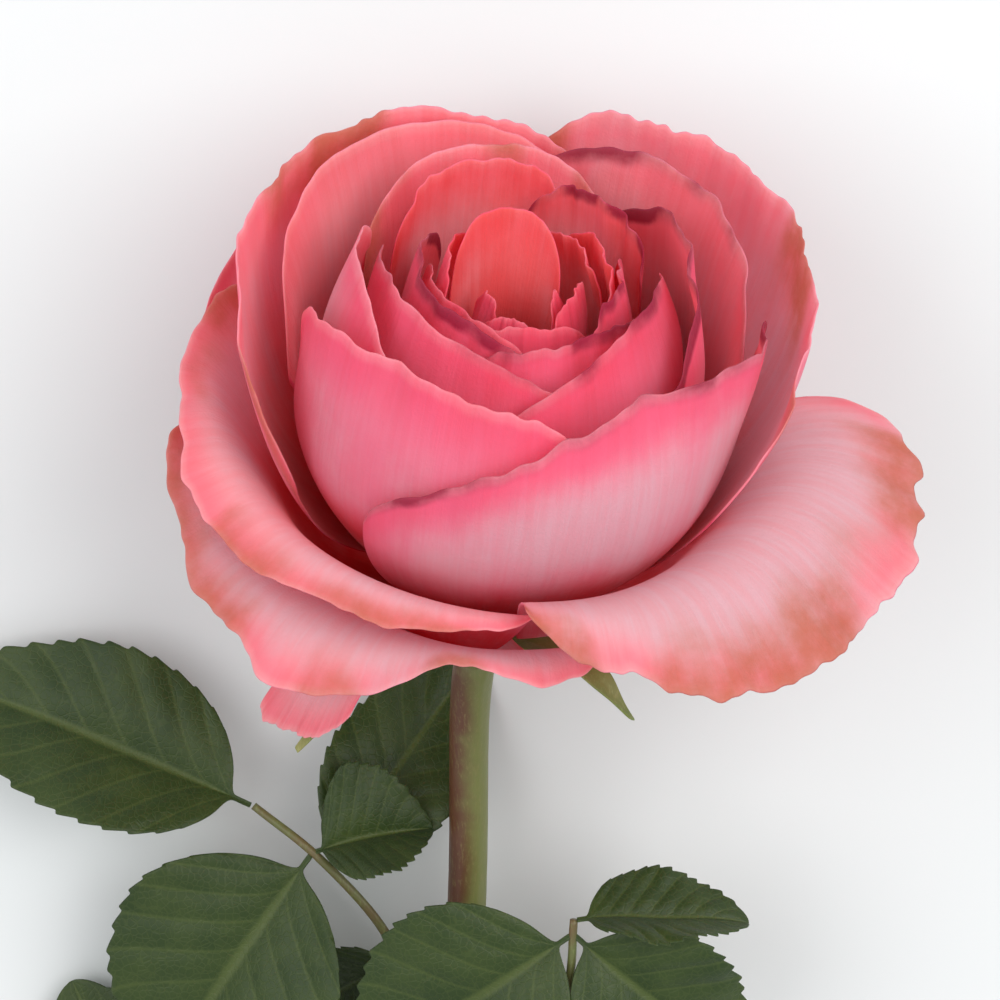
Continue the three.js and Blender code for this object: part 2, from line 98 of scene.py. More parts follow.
# %% The hip, and the place of the bloom
BLOOM_TILT = math.radians(28)
BLOOM_LEAN = math.radians(7)
VIEW_RISE = math.radians(78)
VIEW_DIRECTION = Vector((0, math.cos(VIEW_RISE), math.sin(VIEW_RISE)))
LEAN = Matrix.Rotation(-BLOOM_LEAN, 3, VIEW_DIRECTION)
BLOOM_TURN = LEAN @ Matrix.Rotation(BLOOM_TILT - math.pi / 2, 3, "X")
HIP_PROFILE = [
    (0, -14), (3.4, -14), (3.9, -12.4), (4.95, -9.6), (6.2, -7.4), (6.6, -5.4), (6.14, -2.6),
    (6.7, -1.6), (5.7, 2.6), (4.6, 5.5), (3.2, 8.2), (1.7, 10.6), (0, 11.4),
]


def spin_profile(profile, steps=32):
    """A bmesh turned from (radius, height) points in millimetres."""
    bm = bmesh.new()
    verts = [bm.verts.new((r * MM, 0, z * MM)) for r, z in profile]
    edges = [bm.edges.new(pair) for pair in zip(verts, verts[1:])]
    turn = {"axis": (0, 0, 1), "cent": (0, 0, 0), "angle": 2 * math.pi}
    bmesh.ops.spin(bm, geom=verts + edges, steps=steps, use_merge=True, **turn)
    bmesh.ops.remove_doubles(bm, verts=bm.verts, dist=1e-6)
    bmesh.ops.recalc_face_normals(bm, faces=bm.faces)
    return bm


def corners(bm):
    """The lowest and highest corner of a bmesh."""
    points = np.array([vert.co for vert in bm.verts])
    return Vector(points.min(0)), Vector(points.max(0))


hip_shape = spin_profile(HIP_PROFILE)
bmesh.ops.transform(hip_shape, matrix=BLOOM_TURN.to_4x4(), verts=hip_shape.verts)
own_low, own_high = corners(hip_shape)
packed_low, packed_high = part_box("hip")
BLOOM_BASE = (packed_low + packed_high - own_low - own_high) / 2
bmesh.ops.translate(hip_shape, vec=BLOOM_BASE, verts=hip_shape.verts)
print("the petals' base in metres:", BLOOM_BASE)
print("the two hips' sizes differ by", (packed_high - packed_low) - (own_high - own_low))

# %% [markdown]
# The camera comes before the looks, so that each step can be judged in the picture. It looks down on the
# rose, because the rose lies down, and it sees the bloom from forty degrees above its rim.
# A long lens keeps the petals' proportions, and the aim sits a little above the petals' base.

# %% The camera
CAMERA_DISTANCE = 0.7
FRAME_WIDTH = 0.1515
SENSOR_WIDTH = 36
AIM_RIGHT = 2.42 * MM
AIM_UP = 12.88 * MM
view_right = Vector((1, 0, 0))
view_up = VIEW_DIRECTION.cross(view_right)
aim = BLOOM_BASE + view_right * AIM_RIGHT + view_up * AIM_UP
camera_data = bpy.data.cameras.new("camera")
camera_data.lens = SENSOR_WIDTH * CAMERA_DISTANCE / FRAME_WIDTH
camera = bpy.data.objects.new("camera", camera_data)
camera.location = aim + VIEW_DIRECTION * CAMERA_DISTANCE
camera.rotation_euler = Matrix((view_right, view_up, VIEW_DIRECTION)).transposed().to_euler()
bpy.context.scene.collection.objects.link(camera)
bpy.context.scene.camera = camera
print("lens in millimetres:", round(camera_data.lens, 1))

# %% [markdown]
# Finishes are built from nodes. A small helper keeps the wiring readable: it adds a node, sets its values
# and links its inputs. A link is given as (node, output), and anything else is set as a plain value. The
# other helpers are shorthand for the few nodes that every finish here needs.

# %% A helper for wiring nodes
def wire(tree, kind, settings=None, **inputs):
    """Adds a node, sets its properties, and fills its inputs by name or number."""
    node = tree.nodes.new(kind)
    for name, value in (settings or {}).items():
        setattr(node, name, value)
    for name, value in inputs.items():
        socket = node.inputs[int(name[1:])] if name[0] == "_" else node.inputs[name.replace("_", " ")]
        if isinstance(value, tuple) and isinstance(value[0], bpy.types.Node):
            tree.links.new(value[0].outputs[value[1]], socket)
        else:
            socket.default_value = value
    return node


def math_node(tree, operation, a, b=0.0, c=0.0):
    return (wire(tree, "ShaderNodeMath", {"operation": operation}, _0=a, _1=b, _2=c), 0)


def noise_node(tree, place, scale, detail, roughness=0.5, distortion=0.0):
    values = {"Scale": scale, "Detail": detail, "Roughness": roughness, "Distortion": distortion}
    return (wire(tree, "ShaderNodeTexNoise", _0=place, **values), 0)


def ease_range(tree, value, start, end, low=0.0, high=1.0):
    """Eases from low to high while value goes from start to end."""
    settings = {"interpolation_type": "SMOOTHSTEP"}
    return (wire(tree, "ShaderNodeMapRange", settings, _0=value, _1=start, _2=end, _3=low, _4=high), 0)


def mix_colour(tree, share, first, second):
    settings = {"data_type": "RGBA", "clamp_result": True}
    return (wire(tree, "ShaderNodeMix", settings, _0=share, _6=first, _7=second), 2)


def colour_ramp(tree, value, stops):
    node = wire(tree, "ShaderNodeValToRGB", _0=value)
    node.color_ramp.interpolation = "EASE"
    while len(node.color_ramp.elements) < len(stops):
        node.color_ramp.elements.new(0.5)
    for element, (place, colour) in zip(node.color_ramp.elements, stops):
        element.position = place
        element.color = (*colour, 1)
    return (node, 0)


def new_finish(name):
    """An empty material and its Principled shader."""
    material = bpy.data.materials.new(name)
    material.use_nodes = True
    return material, material.node_tree, material.node_tree.nodes["Principled BSDF"]


def dress(tree, shader, colour, relief, **values):
    """Gives the shader a colour and a relief, and sets its other sockets by name."""
    tree.links.new(colour[0].outputs[colour[1]], shader.inputs["Base Color"])
    if relief:
        tree.links.new(relief.outputs[0], shader.inputs["Normal"])
    for name, value in values.items():
        shader.inputs[name.replace("_", " ")].default_value = value


def let_light_through(tree, shader, colour, share, **inputs):
    """Mixes in a share of light that passes through the sheet."""
    through = wire(tree, "ShaderNodeBsdfTranslucent", Color=colour, **inputs)
    both = wire(tree, "ShaderNodeMixShader", _0=share, _1=(shader, 0), _2=(through, 0))
    tree.links.new(both.outputs[0], tree.nodes["Material Output"].inputs[0])


print("wiring helpers are ready")

# %% [markdown]
# A petal is a thin sheet of living cells. Its back is pink with a silky shine and its face is a warmer
# coral. Both are painted deep red towards the claw, which is painted shade and red light bounced in the
# depths of the cup, not the claw's own colour, and the very rim is painted paler, a painted glow of light
# through the thin edge. Fine veins fan out from the claw to the rim. A petal also lets light through, so
# some of the light that falls on one side leaves from the other: a share of Translucent shader gives that
# glow. The petal's UV map runs across (U) and along (V), so one stretched noise makes all the veins fan
# out. Two attributes vary it: flush is how deep the pink is, and scorch is how far the rim has browned in
# the sun or, below zero, dried to burgundy.

# %% The petal finishes
# the low stops, deep red towards the claw, are painted shade and bounced red light of the cup's depths; the
# two palest stops at the very rim are a painted glow of light through the thin edge
PETAL_BACK = [
    (0.0, (0.78, 0.03, 0.04)), (0.42, (0.86, 0.05, 0.09)), (0.60, (0.94, 0.27, 0.40)),
    (0.8, (0.95, 0.28, 0.42)), (0.96, (0.94, 0.18, 0.32)), (0.985, (0.95, 0.30, 0.41)),
    (1.0, (0.96, 0.42, 0.50)),
]
PETAL_FACE = [
    (0.0, (0.80, 0.08, 0.04)), (0.24, (0.86, 0.05, 0.05)), (0.42, (0.96, 0.30, 0.32)),
    (0.8, (0.97, 0.47, 0.51)), (0.96, (0.96, 0.30, 0.36)), (0.985, (0.96, 0.38, 0.42)),
    (1.0, (0.97, 0.48, 0.50)),
]
DEEP_BACK = (0.93, 0.10, 0.18, 1)
DEEP_FACE = (0.90, 0.09, 0.09, 1)
PALE_BACK = (0.90, 0.56, 0.64, 1)
PALE_FACE = (0.78, 0.54, 0.58, 1)
SCORCHED = (0.60, 0.17, 0.06, 1)
BURGUNDY = (0.40, 0.008, 0.055, 1)
LIGHT_THROUGH = 0.5


def petal_finish(name, stops, deepest, palest, sheen):
    material, tree, shader = new_finish(name)
    uv = wire(tree, "ShaderNodeUVMap", {"uv_map": "petal"})
    split = wire(tree, "ShaderNodeSeparateXYZ", _0=(uv, 0))
    flush = wire(tree, "ShaderNodeAttribute", {"attribute_name": "flush"})
    scorch = wire(tree, "ShaderNodeAttribute", {"attribute_name": "scorch"})
    solid = (wire(tree, "ShaderNodeTexCoord"), 3)
    # veins and streaks: noise stretched along the petal
    stretched = wire(tree, "ShaderNodeMapping", _0=(uv, 0), _3=(60, 2.4, 1))
    veins = noise_node(tree, (stretched, 0), 1.0, 4.0, 0.65, 0.4)
    vein_lines = ease_range(tree, veins, 0.36, 0.64)
    widened = wire(tree, "ShaderNodeMapping", _0=(uv, 0), _3=(11, 1.1, 1))
    streaks = noise_node(tree, (widened, 0), 1.0, 5.0, 0.6, 0.6)
    clouds = noise_node(tree, solid, 85.0, 5.0, 0.6)
    cells = noise_node(tree, solid, 2300.0, 2.0)
    blotches = noise_node(tree, solid, 240.0, 4.0, 0.6)
    # colour: paler or deeper by patches and streaks, then browned or dried at the rim
    # the ramp along the petal paints shade and bounced red light towards the claw, and a glow of light at
    # the rim
    base = colour_ramp(tree, (split, 1), stops)
    cloudy = math_node(tree, "MULTIPLY", clouds, 0.7)
    patchy = math_node(tree, "ADD", cloudy, math_node(tree, "MULTIPLY", streaks, 0.6))
    depth = math_node(tree, "ADD", (flush, 2), math_node(tree, "SUBTRACT", patchy, 0.65))
    deeper = mix_colour(tree, ease_range(tree, depth, 0.0, 0.9, 0.0, 0.85), base, deepest)
    paler = mix_colour(tree, ease_range(tree, depth, 0.0, -0.9, 0.0, 0.95), deeper, palest)
    veined = mix_colour(tree, math_node(tree, "MULTIPLY", vein_lines, 0.13), paler, deepest)
    broken = math_node(tree, "MULTIPLY_ADD", blotches, 1.3, -0.65)
    patch = math_node(tree, "ADD", (scorch, 2), math_node(tree, "MULTIPLY", broken, (scorch, 2)))
    browned = mix_colour(tree, ease_range(tree, patch, 0.05, 1.0, 0.0, 0.75), veined, SCORCHED)
    dried = mix_colour(tree, ease_range(tree, patch, -0.1, -1.0, 0.0, 0.85), browned, BURGUNDY)
    # relief and shine
    creases = math_node(tree, "MULTIPLY_ADD", streaks, 1.6, cells)
    relief = math_node(tree, "MULTIPLY_ADD", vein_lines, 0.6, creases)
    bump = wire(tree, "ShaderNodeBump", Strength=0.4, Distance=0.00016, Height=relief)
    dress(tree, shader, dried, bump, Roughness=0.88, Specular_IOR_Level=0.26, Sheen_Weight=sheen,
          Sheen_Roughness=0.4, Sheen_Tint=(1.0, 0.80, 0.84, 1))
    let_light_through(tree, shader, dried, LIGHT_THROUGH, Normal=(bump, 0))
    return material


petal_back = petal_finish("petal_back", PETAL_BACK, DEEP_BACK, PALE_BACK, 0.14)
petal_face = petal_finish("petal_face", PETAL_FACE, DEEP_FACE, PALE_FACE, 0.06)
print("petal finishes:", petal_back.name, petal_face.name)

# %% [markdown]
# The petals themselves come from one short description each. at and half say which part of the bloom's
# circle a petal covers, in degrees, with 0 to the right and -90 at the front. profile is its side view,
# five points of radius and height in millimetres from claw to rim. left and right move the last two
# points at the petal's edges, rounding drops its corners, fall lowers one side, dent notches the rim,
# skew turns one edge out, shift leans the top, roll curls the rim out and frill ruffles it. The rest is
# colour: flush deepens the pink, pale lightens the middle, scorch browns the rim and sear dries its edge.
# Working from a description is far quicker than sculpting thirty-two petals, and keeps them apart from
# each other, because neighbours can be compared number by number. They are listed from the outside in.

# %% The petals' descriptions
PETALS = [
    {"name": "guard_petal_hanging", "at": -128, "half": 11,
     "profile": ((7.5, -1.2), (18, 2), (28, 4), (35, 1), (40, -6)), "left": (0, 0, 4, -2),
     "right": (0, 2, -2, 5), "rounding": 0.14, "flush": -0.3, "pale": 0.3},
    {"name": "guard_petal_front_left", "at": -118, "half": 58,
     "profile": ((8, 0), (25, 7), (36, 19.3), (45, 22), (53, 16)), "left": (0, 7, -3, 16),
     "right": (-5, 1, -10, 6), "rounding": 0.3, "dent": (0.42, 0.22), "frill": 1, "flush": -0.45,
     "scorch": 0.5, "pale": 0.5},
    {"name": "guard_petal_left", "at": -140, "half": 62,
     "profile": ((8.3, 1.2), (25, 9.4), (35.3, 25.2), (42, 32), (49.5, 30)), "left": (2, 9, 3, 17),
     "right": (-3, -4, -9, -4), "rounding": 0.3, "fall": (0.09, 0), "frill": 0.7, "flush": -0.15,
     "scorch": 0.5, "pale": 0.35},
    {"name": "guard_petal_right", "at": -32, "half": 49.5,
     "profile": ((8, 2.2), (24.6, 11.4), (36, 28.4), (47, 33), (61.5, 23.5)), "left": (-3, -0.5, -13, 3),
     "right": (3, 0.5, 8, 6), "rounding": 0.3, "frill": 0.9, "flush": -0.5, "scorch": 0.6, "pale": 0.6},
    {"name": "guard_petal_under_left", "at": 116, "half": 47,
     "profile": ((9, -0.6), (28, 6), (42, 16), (49, 29), (51, 42))},
    {"name": "guard_petal_under_right", "at": 65, "half": 39,
     "profile": ((8.4, 0.6), (26.5, 9), (38.5, 21), (44.5, 33), (47, 44))},
    {"name": "upright_petal_right", "at": 36, "half": 63,
     "profile": ((7.5, 2.8), (21.9, 11.5), (33.2, 26.4), (40.3, 43), (43.5, 61)), "right": (0, 2, 1, 9),
     "rounding": 0.42, "skew": 0.5, "frill": 0.8, "flush": -0.45, "scorch": 0.6},
    {"name": "upright_petal_left", "at": 141, "half": 73,
     "profile": ((7.2, 3.8), (21.2, 12.4), (32, 26.6), (38.2, 43), (41, 60.5)), "left": (0, 1, 0, 5),
     "rounding": 0.42, "skew": 0.8, "frill": 0.8, "flush": -0.2, "scorch": 0.6},
    {"name": "cup_petal_front_right", "at": -58, "half": 66,
     "profile": ((7, 4.6), (22, 13.4), (32, 28), (34.5, 44), (31, 59)), "right": (1, 1, 8, 2),
     "rounding": 0.2, "fall": (0.28, 0), "frill": 1.2, "flush": -0.15, "sear": 1.1, "pale": 0.7},
    {"name": "cup_petal_front_left", "at": -120, "half": 54,
     "profile": ((6.6, 5.2), (20.4, 14.2), (30.4, 30), (31.5, 45), (29, 60)), "left": (-0.5, 0, 2.2, 0),
     "rounding": 0.2, "fall": (0.02, 0.03), "frill": 0.6, "flush": 0.05, "pale": 0.35},
    {"name": "cup_petal_back_left", "at": 128, "half": 55,
     "profile": ((6.4, 5.6), (20, 15), (30.2, 31), (33, 46), (36, 61.5)), "skew": -0.8, "roll": 1.2,
     "flush": -0.1},
    {"name": "cup_petal_back_right", "at": 50, "half": 55,
     "profile": ((6, 6.2), (19, 15), (28.8, 31), (31, 46), (32.5, 63)), "skew": -0.6, "frill": 0.6,
     "roll": 1, "flush": -0.2, "sear": 0.9},
    {"name": "inner_petal_left", "at": -158, "half": 54,
     "profile": ((5.8, 6.8), (18, 15.5), (27.4, 32), (28, 46), (23.5, 62)), "left": (0, 0, 1.2, 0),
     "rounding": 0.2, "fall": (0, 0.17), "skew": 0.4, "flush": -0.3, "pale": 0.4},
    {"name": "inner_petal_right", "at": 4, "half": 62,
     "profile": ((5.8, 6.8), (18, 15.5), (27.4, 32), (28.1, 46), (24.5, 62.5)), "right": (0, 0, 3, 0),
     "rounding": 0.2, "fall": (0.2, 0), "frill": 0.9, "flush": -0.1, "sear": 1.4, "pale": 0.3},
    {"name": "inner_petal_back", "at": 108, "half": 45,
     "profile": ((5.5, 7.4), (16.5, 16.5), (25.2, 33), (26, 47), (27, 63)), "skew": -0.6, "roll": 1,
     "rounding": 0.3, "flush": -0.2, "scorch": 0.5},
    {"name": "inner_petal_front_right", "at": -35, "half": 64,
     "profile": ((5.3, 7.8), (15.6, 17), (24, 33), (25, 47), (19.6, 61.5)), "rounding": 0.18,
     "fall": (0.13, 0), "skew": -0.5, "flush": 0.25, "sear": 0.8},
    {"name": "inner_petal_front_left", "at": -132, "half": 72,
     "profile": ((4.95, 8.2), (14.5, 17.6), (21.9, 33.5), (22.3, 47), (19, 60.5)), "left": (0, 0, 1.5, 2),
     "rounding": 0.18, "fall": (0, 0.07), "frill": 0.5, "flush": 0.1, "sear": 0.5},
    {"name": "heart_petal_front", "at": -60, "half": 58,
     "profile": ((4.8, 8.8), (13.2, 18.5), (19.4, 34), (19.8, 47), (16, 58.5)), "right": (0, 0, 0, 1.5),
     "rounding": 0.18, "frill": 0.6, "flush": 0.2, "sear": 0.9},
    {"name": "heart_petal_back", "at": 112, "half": 42,
     "profile": ((4.7, 9), (13.6, 19), (20.6, 36), (21.4, 50), (21.6, 64.5)), "frill": 0.7,
     "rounding": 0.3, "flush": 0.35},
    {"name": "heart_petal_back_right", "at": 60, "half": 36,
     "profile": ((4.3, 9.6), (12.6, 19.6), (18.8, 37), (19.6, 50), (18.6, 63.5)),
     "left": (0.3, 0, 0.6, 0), "rounding": 0.3, "frill": 0.8, "sear": 1, "flush": 0.3},
    {"name": "heart_petal_left", "at": -150, "half": 76,
     "profile": ((4.45, 9.3), (12, 19.5), (17, 35.5), (17.3, 48), (14.6, 60.5)), "left": (0, 0, 0.5, 2.5),
     "right": (0, 0, -1, -1.5), "rounding": 0.18, "frill": 0.6, "flush": 0.1, "sear": 1.5},
    {"name": "heart_petal_right", "at": -8, "half": 42,
     "profile": ((4.3, 9.7), (11.4, 20), (16.8, 36.5), (17.2, 49), (13.8, 61.5)),
     "right": (-0.2, 0, 1, 1.5), "rounding": 0.2, "skew": -0.3, "frill": 0.6, "flush": 0.4, "sear": 0.9},
    {"name": "heart_petal_lower_left", "at": -138, "half": 62,
     "profile": ((4.1, 9.9), (10.6, 20.5), (15, 36.5), (15.4, 48.5), (12.2, 59)), "left": (0, 0, 1, 2.5),
     "rounding": 0.2, "frill": 0.5, "flush": 0.35},
    {"name": "eye_petal_right", "at": 22, "half": 50,
     "profile": ((3.9, 10.5), (9.8, 21.5), (14.4, 38), (14.8, 50), (12.4, 61.5)), "right": (0, 0, 3, 1),
     "rounding": 0.25, "frill": 0.6, "flush": 0.5},
    {"name": "eye_petal_front", "at": -80, "half": 54,
     "profile": ((3.8, 10.8), (9.2, 22.5), (13, 37), (13, 47.5), (9.6, 57)), "right": (0, 0, 1.5, 2),
     "rounding": 0.2, "frill": 0.5, "flush": 0.35},
    {"name": "eye_petal_left", "at": 166, "half": 48,
     "profile": ((3.5, 11.2), (8.2, 23), (11.6, 40), (12.4, 51), (10.8, 62)), "rounding": 0.3,
     "frill": 0.4, "flush": 0.5},
    {"name": "eye_petal_upper_right", "at": 52, "half": 42,
     "profile": ((3.5, 11.1), (8.2, 22.8), (12.4, 39), (12.6, 51), (10.4, 61)), "rounding": 0.3,
     "frill": 0.6, "flush": 0.5},
    {"name": "eye_petal_lower_right", "at": -14, "half": 42,
     "profile": ((3.2, 11.9), (6.8, 24.4), (10.2, 39), (10.4, 49.5), (8, 59.5)), "rounding": 0.25,
     "frill": 0.5, "flush": 0.45},
    {"name": "core_petal_centre", "at": 98, "half": 50,
     "profile": ((3, 12.2), (6.4, 25), (9.4, 41), (11, 54), (13.4, 66.5)), "shift": (-1, -7),
     "rounding": 0.5, "frill": 0.2, "flush": 0.55, "pale": -0.2},
    {"name": "core_petal_front", "at": -98, "half": 42,
     "profile": ((2.8, 12.2), (5.6, 25), (8.6, 40), (8.6, 49), (6.2, 56)), "rounding": 0.25, "frill": 0.4,
     "flush": 0.3},
    {"name": "core_petal_right", "at": -20, "half": 28,
     "profile": ((2.6, 12.6), (5, 26), (7.8, 40), (7.8, 50), (5.2, 58.5)), "frill": 0.4, "flush": 0.4},
    {"name": "core_petal_left", "at": -152, "half": 38,
     "profile": ((2.3, 12.8), (4.2, 26), (6, 41), (6.2, 50), (5, 57)), "rounding": 0.3, "frill": 0.3,
     "flush": 0.4},
]
print("petals described:", len(PETALS))

# %% [markdown]
# A petal's surface is a cup wall cut to a round-topped outline. We begin with a flat grid, which already
# has the right faces and a UV map, and move each vertex to its place on the surface. Small uneven bulges
# keep the sheet from looking machined, and a fine ragged line makes the rim look torn and dry as on a
# real bloom.

# %% The petal surface
CORNER = 2.4
DENT_WIDTH = 0.24
FULL_RUFFLE_RADIUS = 30  # rims nearer the axis than this are ruffled less
NO_CHANGE = (0, 0, 0, 0)


def ruffle_share(petal):
    return min(petal["profile"][-1][0] / FULL_RUFFLE_RADIUS, 1)


def rim_share(petal, u, index):
    """How much of the profile the petal covers at that place across."""
    across = min(abs(u), 1)
    rounding = petal.get("rounding", 0.4)
    dome = (1 - across**CORNER) ** (1 / CORNER)
    fall = petal.get("fall", (0, 0))
    dent_at, dent_depth = petal.get("dent", (0, 0))
    lowered = 1 - (fall[0] if u < 0 else fall[1]) * across
    lowered -= dent_depth * math.exp(-(((u - dent_at) / DENT_WIDTH) ** 2))
    ragged = 0.011 * ruffle(19 * u, index + 5) + 0.010 * ruffle(43 * u, index + 2)
    ragged *= ruffle_share(petal) * petal.get("frill", 0.3)
    return (1 - rounding + rounding * dome) * lowered * (1 - ragged)


def petal_point(petal, u, v, index):
    """A point of the petal in the bloom's frame, in millimetres."""
    across = min(abs(u), 1)
    frill = petal.get("frill", 0.3)
    t = v * rim_share(petal, u, index)
    edge = [change * across**1.6 for change in petal.get("left" if u < 0 else "right", NO_CHANGE)]
    *lower, upper, rim = petal["profile"]
    upper = (upper[0] + edge[0], upper[1] + edge[1])
    rim = (rim[0] + edge[2], rim[1] + edge[3])
    radius, height = along([*lower, upper, rim], t)
    wave = frill * rise(0.62, 1, v) ** 1.5
    curl = petal.get("roll", 0) * rise(0.8, 1, v) ** 2
    ripple = ruffle_share(petal) * frill * rise(0.86, 1, v) ** 2
    bulge = 0.55 * rise(0.15, 0.5, v) * noise.noise(Vector((1.7 * u + 3.1 * index, 2.3 * v, 0.37 * index)))
    radius += wave * ruffle(7 * u, 1.3 * index) + curl + petal.get("skew", 0) * u * rise(0, 0.4, t)
    radius += bulge + 0.7 * ripple * ruffle(17 * u, 2.7 * index)
    height += 0.6 * wave * ruffle(9 * u, 2.1 * index + 1) - 0.6 * curl - 0.5 * bulge
    height += 0.5 * ripple * ruffle(21 * u, 0.9 * index)
    angle = math.radians(petal["at"] + petal["half"] * (0.8 + 0.2 * rise(0, 0.5, t)) * u)
    shift = Vector((*petal.get("shift", (0, 0)), 0)) * rise(0, 0.7, t)
    return Vector((radius * math.cos(angle), radius * math.sin(angle), height)) + shift


print("the hanging petal's tip:", petal_point(PETALS[0], 0, 1, 0))

# %% [markdown]
# Every piece ends the same way. Its bmesh becomes an object at the origin, its modifiers give it
# thickness and roundness, it takes the name of the imported node it stands for, whose own shape is then
# hidden, and it rides on the root body. What belongs to the bloom is also moved from the bloom's own frame
# to its place, and kept above the floor.

# %% Helpers that place and finish a piece
FLOOR_REST = 0.25 * MM  # between the floor and what rests on it


def place_in_bloom(point):
    """From the bloom's frame, in millimetres, to the part's, in metres."""
    placed = BLOOM_BASE + BLOOM_TURN @ point * MM
    placed.z = max(placed.z, FLOOR_REST)
    return placed


def finish_piece(node, bm, finishes):
    """Makes an object of the bmesh, smooth and in place, with its finishes, rides it on the root body and
    hides the frame's node.
    """
    mesh = bpy.data.meshes.new("fresh_" + node)
    bm.to_mesh(mesh)
    bm.free()
    mesh.shade_smooth()
    piece = bpy.data.objects.new("fresh_" + node, mesh)
    bpy.context.scene.collection.objects.link(piece)
    for finish in finishes:
        mesh.materials.append(finish)
    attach(piece, "root")
    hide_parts(node)
    return piece


def round_off(piece, rounds):
    skin = piece.modifiers.new("skin", "SUBSURF")
    skin.levels = rounds
    skin.render_levels = rounds


def thicken(piece, thickness, second_side=1):
    """A thin wall, rounded by subdivision, whose second side may have another finish."""
    wall = piece.modifiers.new("wall", "SOLIDIFY")
    wall.thickness = thickness
    wall.offset = 0
    wall.material_offset = second_side
    wall.material_offset_rim = 0
    round_off(piece, 1)


print("the finishing helpers are ready")

# %% [markdown]
# The grid for a large petal has more squares than that for a small one, so that the ruffled rims stay fine.
# The two colour attributes are worked out from the same place across and along, so that scorching follows
# the rim, and the pink deepens in soft patches.

# %% Build the petals
PETAL_THICKNESS = 0.32 * MM
LARGE_RIM = 36  # petals whose rim is wider than this get the finer grid
LARGE_GRID = {"x_segments": 96, "y_segments": 38}
SMALL_GRID = {"x_segments": 44, "y_segments": 32}


def petal_colour(petal, u, v, index):
    """flush and scorch at a place on the petal."""
    patch = noise.noise(Vector((2.2 * u + 7.7 * index, 3.0 * v, 1.9 * index)))
    middle = math.exp(-(((v - 0.7) / 0.18) ** 2)) * (1 - rise(0.45, 1.0, abs(u)))
    flush = petal.get("flush", 0.0) + 0.3 * patch - petal.get("pale", 0.2) * middle
    flush += 0.2 * rise(0.78, 1.0, v) + 0.15 * rise(0.75, 1.0, abs(u))
    spots = rise(-0.1, 0.25, noise.noise(Vector((3.6 * u + 3.3 * index, 1.5 * v, 0.7 * index))))
    depth = rise(0.72, 0.98, v + 0.08 * noise.noise(Vector((8 * u, 5.1 * index, 6 * v))))
    scorch = 1.3 * petal.get("scorch", 0.15) * spots * depth
    scorch -= 1.4 * petal.get("sear", 0.0) * (0.35 + 0.65 * spots) * rise(0.94, 0.99, v)
    return flush, scorch


def build_petal(petal, index):
    grid = LARGE_GRID if petal["profile"][-1][0] > LARGE_RIM else SMALL_GRID
    bm = bmesh.new()
    bm.loops.layers.uv.new("petal")
    flush_layer = bm.verts.layers.float.new("flush")
    scorch_layer = bm.verts.layers.float.new("scorch")
    bmesh.ops.create_grid(bm, size=1, calc_uvs=True, **grid)
    for vert in bm.verts:
        u, v = vert.co.x, (vert.co.y + 1) / 2
        vert[flush_layer], vert[scorch_layer] = petal_colour(petal, u, v, index)
        vert.co = place_in_bloom(petal_point(petal, u, v, index))
    piece = finish_piece(petal["name"], bm, [petal_back, petal_face])
    thicken(piece, PETAL_THICKNESS)
    return piece


petals = [build_petal(petal, index) for index, petal in enumerate(PETALS)]
print("petals built:", len(petals))
for petal in PETALS[:4]:
    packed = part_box(petal["name"])
    print(petal["name"], "packed box:", [tuple(round(x, 4) for x in corner) for corner in packed])

# %% [markdown]
# Under the petals is the hip, the green urn that would ripen after flowering. Its skin is smooth and waxy
# and a little red on the sunny side, so its finish is green with a soft noise of brown and a fine grain.
# The stem, the leaf stalks and the sepals have the same kind of skin, so one function makes all of them.

# %% Green skins
def skin_finish(name, main, second, speck, roughness, blush_shade_share=0.0):
    """A waxy plant skin of two colours that drift into each other, with fine lengthwise specks."""
    material, tree, shader = new_finish(name)
    solid = (wire(tree, "ShaderNodeTexCoord"), 3)
    sunny = wire(tree, "ShaderNodeAttribute", {"attribute_name": "sunny"})
    patches = noise_node(tree, solid, 95.0, 4.0, 0.6)
    stretched = wire(tree, "ShaderNodeMapping", _0=solid, _3=(1.0, 0.22, 1.0))
    specks = noise_node(tree, (stretched, 0), 2400.0, 3.0, 0.7)
    # on the stem this pushes the side away from the window towards the second, darker red-brown colour:
    # painted shade mixed with a red blush
    share = math_node(tree, "MULTIPLY_ADD", (sunny, 2), blush_shade_share, patches)
    base = mix_colour(tree, ease_range(tree, share, 0.25, 0.8), (*main, 1), (*second, 1))
    specked = mix_colour(tree, ease_range(tree, specks, 0.5, 0.72, 0.0, 0.5), base, (*speck, 1))
    bump = wire(tree, "ShaderNodeBump", Strength=0.25, Distance=0.00015, Height=specks)
    dress(tree, shader, specked, bump, Roughness=roughness, Subsurface_Weight=0.12,
          Subsurface_Radius=(0.6, 1.0, 0.3), Subsurface_Scale=0.0012)
    return material


hip_finish = skin_finish("hip_skin", (0.15, 0.20, 0.045), (0.20, 0.11, 0.045), (0.30, 0.33, 0.12), 0.42)
sepal_finish = skin_finish("sepal_skin", (0.13, 0.18, 0.035), (0.25, 0.22, 0.06), (0.34, 0.36, 0.14), 0.5)
hip = finish_piece("hip", hip_shape, [hip_finish])
print("hip faces:", len(hip.data.polygons))

# %% [markdown]
# Inside the innermost petals hides the tuft of stamens and styles. It stands on the hip's cone, and is a
# short turned body whose ribs are its filaments: every second column of vertices is drawn inwards.

